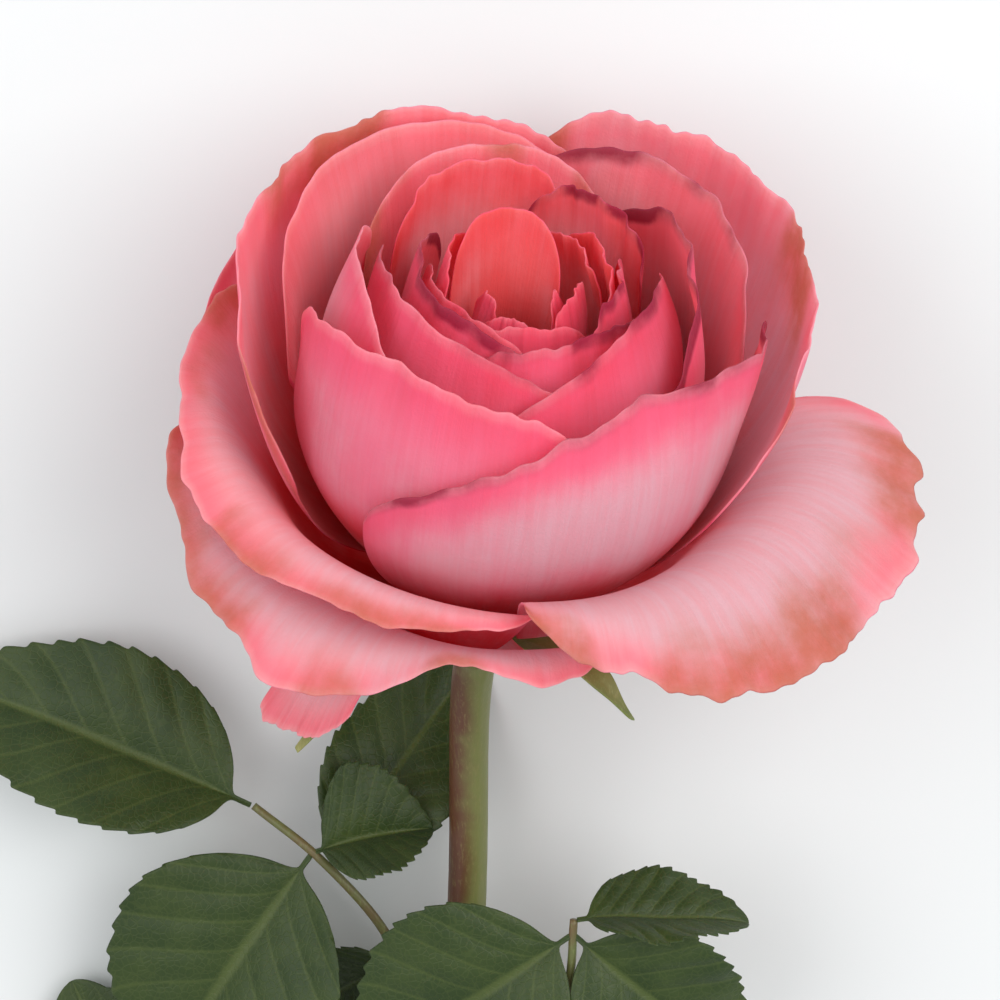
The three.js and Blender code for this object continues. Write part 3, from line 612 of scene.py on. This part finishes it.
# %% The stamens
TUFT_PROFILE = [(0, 0), (0.9, 0), (1.2, 3), (1.7, 6.5), (1.3, 8), (0, 8.2)]
TUFT_BASE = 11.75  # millimetres above the petals' base
TUFT_COLUMNS = 40
RIB_DEPTH = 0.16
tuft_shape = spin_profile(TUFT_PROFILE, steps=TUFT_COLUMNS)
for vert in tuft_shape.verts:
    rib = round(math.atan2(vert.co.y, vert.co.x) / (2 * math.pi) * TUFT_COLUMNS) % 2
    vert.co.x *= 1 - RIB_DEPTH * rib
    vert.co.y *= 1 - RIB_DEPTH * rib
    vert.co = BLOOM_BASE + BLOOM_TURN @ (vert.co + Vector((0, 0, TUFT_BASE * MM)))
pollen, tree, shader = new_finish("pollen")
grains = noise_node(tree, (wire(tree, "ShaderNodeTexCoord"), 3), 3000.0, 2.0)
grain_share = ease_range(tree, grains, 0.4, 0.6)
golden = mix_colour(tree, grain_share, (0.50, 0.26, 0.04, 1), (0.85, 0.55, 0.16, 1))
dress(tree, shader, golden, None, Roughness=0.85)
stamens = finish_piece("stamens", tuft_shape, [pollen])
print("stamens' highest point:", max(vert.co.z for vert in stamens.data.vertices))

# %% [markdown]
# Five sepals wrapped the bud and now stand out from the hip under the petals. Each is a narrow pointed
# leaf with a ridge along its middle, and its edge waves in and out a little. It starts as a grid, as a
# petal does. The width follows a formula along its length.

# %% The sepals
SEPALS = [
    {"name": "sepal_front_left", "at": -128, "bow": -4,
     "profile": ((8, -3.5), (18, -4.5), (28, -6), (37, -13))},
    {"name": "sepal_front_right", "at": -56, "bow": 16, "profile": ((8, -3.5), (16, 0), (25, 1), (32, -5))},
    {"name": "sepal_right", "at": 16, "bow": 6, "profile": ((8, -3.5), (18, 0), (28, 2), (36, -2))},
    {"name": "sepal_under", "at": 88, "bow": -5, "profile": ((8, -3.5), (17, -4), (25, -4), (31, -1))},
    {"name": "sepal_left", "at": 160, "bow": 6, "profile": ((8, -3.5), (18, -1), (28, 1), (36, -2))},
]
SEPAL_WIDTH = 7
SEPAL_THICKNESS = 0.45 * MM


def sepal_point(sepal, u, v):
    """A point of the sepal in the bloom's frame, in millimetres."""
    radius, height = along(sepal["profile"], v)
    width = SEPAL_WIDTH / 2 * max(1 - v, 0) * (0.9 + 0.7 * v) + 0.35
    width *= 1 + 0.10 * math.sin(19 * v) * rise(0.3, 1.0, abs(u)) * rise(0.1, 0.3, v)
    angle = math.radians(sepal["at"] + sepal["bow"] * v)
    outwards = Vector((math.cos(angle), math.sin(angle), 0))
    sideways = Vector((-math.sin(angle), math.cos(angle), 0))
    ridge = 0.3 * math.exp(-((u / 0.16) ** 2)) * (1 - v)
    height += 0.12 * width * u * u - ridge + 0.35 * u * math.sin(11 * v)
    return outwards * radius + sideways * (u * width) + Vector((0, 0, height))


for sepal in SEPALS:
    bm = bmesh.new()
    bm.loops.layers.uv.new("petal")
    bmesh.ops.create_grid(bm, x_segments=12, y_segments=32, size=1, calc_uvs=True)
    for vert in bm.verts:
        vert.co = place_in_bloom(sepal_point(sepal, vert.co.x, (vert.co.y + 1) / 2))
    piece = finish_piece(sepal["name"], bm, [sepal_finish])
    thicken(piece, SEPAL_THICKNESS, second_side=0)
print("sepals built:", len(SEPALS))

# %% [markdown]
# The stem bends gently and swells at each joint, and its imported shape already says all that. So the
# finished stem begins as a copy of it, with its doubled vertices merged, and only needs rounding: two
# levels of subdivision turn its twelve flat sides into a smooth tube. Short hooked prickles are added to
# it, wide at their foot and bent towards the cut end. Each is a cone from bmesh, stretched and leant by
# moving vertices.

# %% The stem
STEM_RADIUS = 3.1 * MM
CUT_FACE_DEPTH = 0.4 * MM
BARK_WIDTH = 0.25 * MM
PRICKLE_FOOT = 1.1 * MM
PRICKLE_POINT = 0.05 * MM
PRICKLE_ROOT = 0.5 * MM  # how deep its foot sits in the stem
# each prickle's share along the stem, side in degrees and length in millimetres
PRICKLES = [(0.16, 250, 3.6), (0.33, 200, 4.2), (0.37, 20, 3.4), (0.51, 330, 4.2), (0.55, 150, 3.6),
            (0.68, 60, 4.4), (0.73, 215, 3.8), (0.87, 110, 4.2), (0.93, 300, 3.6)]
packed_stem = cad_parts["stem"]
stem_shape = bmesh.new()
stem_shape.from_mesh(packed_stem.data)
bmesh.ops.transform(stem_shape, matrix=packed_stem.matrix_world, verts=stem_shape.verts)
bmesh.ops.remove_doubles(stem_shape, verts=stem_shape.verts, dist=1e-5)
bmesh.ops.recalc_face_normals(stem_shape, faces=stem_shape.faces)
stem_low, stem_high = corners(stem_shape)
cut_faces = [
    face for face in stem_shape.faces
    if face.calc_center_median().y < stem_low.y + CUT_FACE_DEPTH and face.normal.y < -0.8
]
inset = bmesh.ops.inset_region(stem_shape, faces=cut_faces, thickness=BARK_WIDTH)
for face in inset["faces"] + cut_faces:
    face.material_index = 1


def stem_centre(share):
    """The middle of the stem at a share of its run, from the neck to the cut end."""
    y = stem_high.y + share * (stem_low.y - stem_high.y)
    near = [vert.co for vert in stem_shape.verts if abs(vert.co.y - y) < 5 * MM]
    return sum(near, Vector()) / len(near)


def add_prickle(share, side, length):
    """A hooked prickle: side is its angle around the stem, with 90 on top."""
    centre = stem_centre(share)
    before = set(stem_shape.verts)
    sizes = {"radius1": PRICKLE_FOOT, "radius2": PRICKLE_POINT, "depth": length * MM}
    bmesh.ops.create_cone(stem_shape, cap_ends=True, segments=12, **sizes)
    cone = [vert for vert in stem_shape.verts if vert not in before]
    angle = math.radians(side)
    away = Vector((math.cos(angle), 0, math.sin(angle)))
    lengthwise = Vector((0, -1, 0))
    for vert in cone:
        up = vert.co.z / (length * MM) + 0.5
        out = STEM_RADIUS - PRICKLE_ROOT + up * length * MM
        bend = 0.45 * length * MM * up**2
        around = away.cross(lengthwise) * 0.55 * vert.co.y
        vert.co = centre + away * out + lengthwise * (1.7 * vert.co.x + bend) + around
    cone_edges = list({edge for vert in cone for edge in vert.link_edges})
    bmesh.ops.subdivide_edges(stem_shape, edges=cone_edges, cuts=1)


for share, side, length in PRICKLES:
    add_prickle(share, side, length)
bmesh.ops.recalc_face_normals(stem_shape, faces=stem_shape.faces)
blush_shade_layer = stem_shape.verts.layers.float.new("sunny")
stem_shape.normal_update()
for vert in stem_shape.verts:
    # the side away from the window light (-X) gets the darker red-brown colour: painted shade, partly a red
    # blush
    vert[blush_shade_layer] = -vert.normal.x
    vert.co.z = max(vert.co.z, FLOOR_REST)
# the second colour is the painted shade and red blush of the stem's side away from the window
stem_finish = skin_finish(
    "stem_skin", (0.14, 0.155, 0.04), (0.10, 0.036, 0.016), (0.20, 0.17, 0.06), 0.42, blush_shade_share=0.5
)

# the cut face: pale wood around a whiter pith
cut_centre = stem_centre(1)
cut_finish, tree, shader = new_finish("cut_wood")
solid = (wire(tree, "ShaderNodeTexCoord"), 3)
middle = (cut_centre.x, stem_low.y, cut_centre.z)
apart = wire(tree, "ShaderNodeVectorMath", {"operation": "DISTANCE"}, _0=solid, _1=middle)
ring_place = math_node(tree, "DIVIDE", (apart, 1), STEM_RADIUS)
fibres = noise_node(tree, solid, 2500.0, 2.0)
CUT_RINGS = [(0.0, (0.72, 0.66, 0.46)), (0.42, (0.62, 0.58, 0.34)), (0.55, (0.42, 0.46, 0.16)),
             (0.82, (0.50, 0.52, 0.24)), (1.0, (0.16, 0.15, 0.05))]
rings = colour_ramp(tree, ring_place, CUT_RINGS)
cut_colour = mix_colour(tree, math_node(tree, "MULTIPLY", fibres, 0.5), rings, (0.30, 0.27, 0.12, 1))
dress(tree, shader, cut_colour, None, Roughness=0.7)

stem = finish_piece("stem", stem_shape, [stem_finish, cut_finish])
round_off(stem, 2)
print("stem vertices:", len(stem.data.vertices), "cut faces:", len(cut_faces))

# %% [markdown]
# Three compound leaves leave the stem, each a stalk with five leaflets. stalk holds a stalk's steps from
# its start in millimetres, and each leaflet has its share along the stalk, its heading (0 to the right, 90
# towards the bloom), dip below the level, size, roll, fold and arch. The stalk is a tube: a grid rolled up
# until its edges meet, which are then merged, with its ends filled. Where it starts comes from the frame,
# by comparing the box of the tube built at the origin with the imported one. Two small green wings, the
# stipules, sit at its foot.

# %% The leaf stalks
LEAVES = {
    "leaf_left": {
        "stalk": ((0, 0, 0), (-1.5, 13, 1.5), (-6, 26, 2.5), (-16, 38, 3), (-26.5, 46, 0.5)),
        "leaflets": {
            "tip": dict(at=1, heading=160, dip=10, size=(54, 30), roll=30, fold=18, arch=22),
            "outer": dict(at=0.78, heading=-122, dip=8, size=(48, 40), roll=16, fold=16, arch=30),
            "inner": dict(at=0.78, heading=10, dip=6, size=(19, 25), roll=-38, fold=38, arch=30),
            "low_outer": dict(at=0.42, heading=-140, dip=30, size=(24, 17), roll=0, fold=10, arch=14),
            "low_inner": dict(at=0.72, heading=52, dip=27, size=(42, 22), roll=-10, fold=10, arch=8),
        },
    },
    "leaf_right": {
        "stalk": ((0, 0, 0), (4, 24, 5), (10, 47, 11), (15, 67, 15), (16, 79, 16)),
        "leaflets": {
            "tip": dict(at=1, heading=-3, dip=6, size=(27, 17), roll=-66, fold=14, arch=26),
            "inner": dict(at=0.95, heading=-143, dip=14, size=(42, 34), roll=8, fold=12, arch=34),
            "outer": dict(at=0.95, heading=-42, dip=16, size=(36, 27), roll=0, fold=14, arch=46),
            "low_right": dict(at=0.42, heading=-38, dip=24, size=(44, 31), roll=-8, fold=12, arch=24),
            "low_left": dict(at=0.42, heading=-158, dip=20, size=(44, 30), roll=0, fold=12, arch=40),
        },
    },
    "leaf_low": {
        "stalk": ((0, 0, 0), (-7, 18, 0.5), (-19, 42, -1), (-30, 60, -2.5), (-38, 71, -4)),
        "leaflets": {
            "tip": dict(at=1, heading=114, dip=3, size=(44, 32), roll=0, fold=8, arch=10),
            "outer": dict(at=0.84, heading=180, dip=8, size=(42, 30), roll=0, fold=12, arch=24),
            "inner": dict(at=0.84, heading=48, dip=5, size=(36, 24), roll=0, fold=10, arch=16),
            "low_outer": dict(at=0.5, heading=-166, dip=9, size=(38, 27), roll=0, fold=12, arch=24),
            "low_inner": dict(at=0.5, heading=60, dip=12, size=(24, 18), roll=0, fold=12, arch=16),
        },
    },
}
STALK_RADIUS = 0.9
STALK_SIDES = 16
STALK_RINGS = 64
STALK_BLUSH = 0.25
STIPULE_THICKNESS = 0.25
UP = Vector((0, 0, 1))


def stalk_radius(t):
    return STALK_RADIUS * (1 - 0.3 * t + 0.8 * math.exp(-t / 0.06))


def stalk_tube(steps):
    """A tube in millimetres along the stalk's steps."""
    bm = bmesh.new()
    bmesh.ops.create_grid(bm, x_segments=STALK_SIDES, y_segments=STALK_RINGS, size=1)
    for vert in bm.verts:
        turn = vert.co.x * math.pi
        t = (vert.co.y + 1) / 2
        tangent = Vector(along(steps, min(t + 1e-3, 1))) - Vector(along(steps, max(t - 1e-3, 0)))
        tangent.normalize()
        sideways = UP.cross(tangent).normalized()
        upwards = tangent.cross(sideways)
        out = sideways * math.cos(turn) + upwards * math.sin(turn)
        vert.co = Vector(along(steps, t)) + out * stalk_radius(t)
    bmesh.ops.remove_doubles(bm, verts=bm.verts, dist=1e-3)
    bmesh.ops.holes_fill(bm, edges=bm.edges, sides=0)
    bmesh.ops.recalc_face_normals(bm, faces=bm.faces)
    return bm


def add_stipule(bm, steps, hand):
    """One wing of the pair at the stalk's foot, a narrow pointed sheet joined to its side."""
    before = set(bm.verts)
    bmesh.ops.create_grid(bm, x_segments=4, y_segments=14, size=1)
    wing = [vert for vert in bm.verts if vert not in before]
    for vert in wing:
        out, t = (vert.co.x + 1) / 2, (vert.co.y + 1) / 2
        along_stalk = 0.03 + 0.17 * t + 0.035 * out * t
        centre = Vector(along(steps, along_stalk))
        tangent = (Vector(along(steps, along_stalk + 0.01)) - centre).normalized()
        sideways = UP.cross(tangent).normalized() * hand
        width = 1.7 * (0.75 + 0.35 * t) * (1 - rise(0.82, 1.0, t) * 0.75 * (1 - out))
        vert.co = centre + sideways * (0.6 * stalk_radius(along_stalk) + out * width) + UP * 0.7 * out**2
    faces = list({face for vert in wing for face in vert.link_faces})
    bmesh.ops.solidify(bm, geom=faces, thickness=STIPULE_THICKNESS)


stalk_finish = skin_finish(
    "stalk_skin", (0.09, 0.13, 0.03), (0.12, 0.06, 0.025), (0.18, 0.21, 0.07), 0.45, blush_shade_share=0.35
)
stalk_starts = {}
for leaf, shape in LEAVES.items():
    bm = stalk_tube(shape["stalk"])
    own_low, own_high = corners(bm)
    packed_low, packed_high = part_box(leaf + "_stalk")
    stalk_starts[leaf] = (packed_low + packed_high) / 2 - (own_low + own_high) / 2 * MM
    for hand in (-1, 1):
        add_stipule(bm, shape["stalk"], hand)
    blush_shade_layer = bm.verts.layers.float.new("sunny")
    for vert in bm.verts:
        vert[blush_shade_layer] = STALK_BLUSH
        vert.co = stalk_starts[leaf] + vert.co * MM
        vert.co.z = max(vert.co.z, FLOOR_REST)
    finish_piece(leaf + "_stalk", bm, [stalk_finish])
    print(leaf, "stalk starts at", tuple(round(x, 4) for x in stalk_starts[leaf]))

# %% [markdown]
# A leaflet's blade is dark and leathery above and paler beneath. Its veins run from the midrib to the
# teeth of the edge, sunk above and raised beneath, with the blade quilted between them. All of that is in
# the shape: the height of each vertex follows a wave whose valleys are the veins, and the outermost
# columns of the grid are pushed out in a sawtooth that points to the tip. The finish repeats the veins as
# fine paler lines, from the same numbers, so that the lines lie in the valleys.

# %% The leaflet finishes
VEIN_PAIRS = 8
VEIN_SLANT = 0.26
VEIN_BEND = 0.8
LIGHT_THROUGH_LEAF = 0.1


def leaf_finish(name, dark, light, vein, roughness, vein_strength):
    material, tree, shader = new_finish(name)
    uv = wire(tree, "ShaderNodeUVMap", {"uv_map": "leaf"})
    split = wire(tree, "ShaderNodeSeparateXYZ", _0=(uv, 0))
    solid = (wire(tree, "ShaderNodeTexCoord"), 3)
    apart = math_node(tree, "ABSOLUTE", math_node(tree, "MULTIPLY_ADD", (split, 0), 2.0, -1.0))
    slanted = math_node(tree, "MULTIPLY", math_node(tree, "POWER", apart, VEIN_BEND), VEIN_SLANT)
    beside = math_node(tree, "SUBTRACT", (split, 1), slanted)
    phase = math_node(tree, "MULTIPLY", beside, float(VEIN_PAIRS))
    ping = math_node(tree, "PINGPONG", phase, 0.5)
    side_veins = ease_range(tree, ping, 0.0, 0.10, 1.0, 0.0)
    midrib = ease_range(tree, apart, 0.02, 0.075, 1.0, 0.0)
    lines = math_node(tree, "MAXIMUM", math_node(tree, "MULTIPLY", side_veins, 0.55), midrib)
    net = wire(tree, "ShaderNodeTexVoronoi", {"feature": "DISTANCE_TO_EDGE"}, _0=solid, Scale=900.0)
    net_lines = ease_range(tree, (net, 0), 0.0, 0.12, 1.0, 0.0)
    blotches = noise_node(tree, solid, 120.0, 4.0, 0.6)
    base = mix_colour(tree, ease_range(tree, blotches, 0.3, 0.7), (*dark, 1), (*light, 1))
    netted = mix_colour(tree, math_node(tree, "MULTIPLY", net_lines, 0.16), base, (*vein, 1))
    veined = mix_colour(tree, math_node(tree, "MULTIPLY", lines, vein_strength), netted, (*vein, 1))
    relief = math_node(tree, "MULTIPLY_ADD", net_lines, -0.5, blotches)
    bump = wire(tree, "ShaderNodeBump", Strength=0.35, Distance=0.0002, Height=relief)
    dress(tree, shader, veined, bump, Roughness=roughness, Specular_IOR_Level=0.32, Sheen_Weight=0.03,
          Sheen_Tint=(0.72, 0.85, 0.9, 1))
    let_light_through(tree, shader, veined, LIGHT_THROUGH_LEAF)
    return material


leaf_top = leaf_finish(
    "leaf_top", (0.019, 0.040, 0.006), (0.034, 0.058, 0.010), (0.09, 0.12, 0.028), 0.45, 0.5
)
leaf_under = leaf_finish(
    "leaf_under", (0.085, 0.125, 0.060), (0.11, 0.15, 0.08), (0.20, 0.24, 0.11), 0.6, 0.7
)
print("leaflet finishes:", leaf_top.name, leaf_under.name)

# %% [markdown]
# Each leaflet starts as a grid too. It is bent along its midrib, folded up a little on both sides, and
# lies down on the floor where it would pass through it. Solidify makes the blade a thin wall, and its
# second side takes the paler finish.

# %% Build the leaflets
LEAF_THICKNESS = 0.35 * MM
LEAFLET_GAP = -0.2  # each leaflet's own short stalk starts inside the leaf stalk
LEAFLET_STUB = 0.07  # that short stalk's share of the leaflet
STUB_HALF_WIDTH = 0.45
FLOOR_BLEND = 0.8 * MM  # how softly a blade bends to lie on the floor
TEETH = 14
ROWS_PER_TOOTH = 6
TOOTH_DEPTH = 1.0
QUILT_DEPTH = 0.55


def leaflet_frame(leaf, leaflet):
    """The leaflet's base, aim, sideways and up directions, in millimetres from the stalk's start."""
    dip, heading = math.radians(leaflet["dip"]), math.radians(leaflet["heading"])
    level = math.cos(dip)
    aim = Vector((level * math.cos(heading), level * math.sin(heading), -math.sin(dip)))
    base = Vector(along(LEAVES[leaf]["stalk"], leaflet["at"]))
    base += aim * (stalk_radius(leaflet["at"]) + LEAFLET_GAP)
    roll = Matrix.Rotation(math.radians(leaflet["roll"]), 3, aim)
    up = roll @ (UP - aim * aim.z).normalized()
    return base, aim, aim.cross(up), up


def leaflet_point(leaflet, place, u, v, seed):
    """A point of the blade: bent, folded, quilted between its veins, and toothed at its edge."""
    base, aim, sideways, up = place
    length, width = leaflet["size"]
    bend = math.radians(max(leaflet["arch"], 1))
    turn = bend * (v - 0.5)
    forward = length * (math.sin(turn) + math.sin(bend / 2)) / bend
    lift = length * (math.cos(turn) - math.cos(bend / 2)) / bend
    beyond_stub = min(max((v - LEAFLET_STUB) / (1 - LEAFLET_STUB), 0), 1)
    outline = abs(math.sin(math.pi * beyond_stub**0.75)) ** 0.72
    half = width / 2 * outline + STUB_HALF_WIDTH
    apart = abs(u)
    tooth = (v * TEETH) % 1
    near_edge = rise(0.86, 1.0, apart) * min(outline * 1.6, 1)
    reach = apart * half + TOOTH_DEPTH * (tooth - 0.5) * near_edge
    forward += 0.8 * TOOTH_DEPTH * (tooth - 0.3) * near_edge
    phase = VEIN_PAIRS * (v - VEIN_SLANT * apart**VEIN_BEND)
    quilt = QUILT_DEPTH * abs(math.sin(math.pi * phase)) ** 0.6 * rise(0.02, 0.3, apart) * outline
    quilt *= 1 - 0.6 * rise(0.8, 1.0, apart)
    midrib = -0.35 * math.exp(-((apart / 0.07) ** 2)) * outline
    wander = 1.1 * noise.noise(Vector((1.3 * u + seed, 2.2 * v, 0.4 * seed))) * outline
    side_lag = 2 if u < 0 else 0
    edge_wave = 0.6 * rise(0.5, 1.0, apart) * math.sin(15 * v + 2 * seed + side_lag) * outline
    fold = math.radians(leaflet["fold"])
    raised = apart * half * math.sin(fold)
    point = base + aim * forward + sideways * (math.copysign(reach, u) * math.cos(fold))
    return point + up * (lift + raised + quilt + midrib + wander + edge_wave)


leaflets = []
for leaf, shape in LEAVES.items():
    for name, leaflet in shape["leaflets"].items():
        place = leaflet_frame(leaf, leaflet)
        bm = bmesh.new()
        bm.loops.layers.uv.new("leaf")
        bmesh.ops.create_grid(bm, x_segments=26, y_segments=TEETH * ROWS_PER_TOOTH, size=1, calc_uvs=True)
        seed = 1.7 * len(leaflets)
        for vert in bm.verts:
            point = leaflet_point(leaflet, place, vert.co.x, (vert.co.y + 1) / 2, seed)
            vert.co = stalk_starts[leaf] + point * MM
            height = vert.co.z
            vert.co.z = (height + math.hypot(height, 2 * FLOOR_BLEND)) / 2 + FLOOR_REST
        piece = finish_piece(leaf + "_" + name, bm, [leaf_top, leaf_under])
        thicken(piece, LEAF_THICKNESS)
        leaflets.append(piece)
print("leaflets built:", len(leaflets))

# %% [markdown]
# The rose lies on a plain pale surface, which is not part of the rose. A little
# noise in its colour and a fine grain keep it from looking like a flat fill where the shadows fall.

# %% The surface it lies on
FLOOR_HALF_WIDTH = 1.6
floor_shape = bmesh.new()
bmesh.ops.create_grid(floor_shape, x_segments=1, y_segments=1, size=FLOOR_HALF_WIDTH)
floor_mesh = bpy.data.meshes.new("surface")
floor_shape.to_mesh(floor_mesh)
floor_shape.free()
floor = bpy.data.objects.new("surface", floor_mesh)
bpy.context.scene.collection.objects.link(floor)
paper, tree, shader = new_finish("pale_surface")
solid = (wire(tree, "ShaderNodeTexCoord"), 3)
grain = noise_node(tree, solid, 900.0, 3.0)
drift = noise_node(tree, solid, 5.0, 1.0)
pale = mix_colour(tree, drift, (0.664, 0.684, 0.682, 1), (0.694, 0.714, 0.712, 1))
grain_bump = wire(tree, "ShaderNodeBump", Strength=0.05, Distance=0.0001, Height=grain)
dress(tree, shader, pale, grain_bump, Roughness=0.9, Specular_IOR_Level=0.1)
floor_mesh.materials.append(paper)
print("surface half width in metres:", FLOOR_HALF_WIDTH)

# %% [markdown]
# A flower looks best in soft light from a large window. A bright world gives the even fill, and two wide
# area lights give direction: the larger one from the upper right, the other a weaker one from the left.
# Petals lit this way keep their own colour, and light that passes through them warms the folds.

# %% Light
FILL_COLOUR = (0.97, 0.98, 1.0, 1)
FILL_STRENGTH = 0.78
world = bpy.data.worlds.new("studio")
bpy.context.scene.world = world
world.use_nodes = True
background = world.node_tree.nodes["Background"]
background.inputs["Color"].default_value = FILL_COLOUR
background.inputs["Strength"].default_value = FILL_STRENGTH


def area_light(name, place, size, power, colour):
    """A soft square light that looks at the bloom."""
    data = bpy.data.lights.new(name, "AREA")
    data.energy = power
    data.size = size
    data.color = colour
    light = bpy.data.objects.new(name, data)
    light.location = BLOOM_BASE + Vector(place)
    light.rotation_euler = (-Vector(place)).to_track_quat("-Z", "Y").to_euler()
    bpy.context.scene.collection.objects.link(light)


area_light("window", (0.75, 0.5, 1.1), 1.2, 14.5, (1.0, 0.99, 0.98))
area_light("bounce", (-0.8, 0.25, 1.1), 1.1, 7.4, (0.98, 0.99, 1.0))
bpy.context.scene.view_settings.view_transform = "Standard"
print("lights:", [light.name for light in bpy.data.lights])
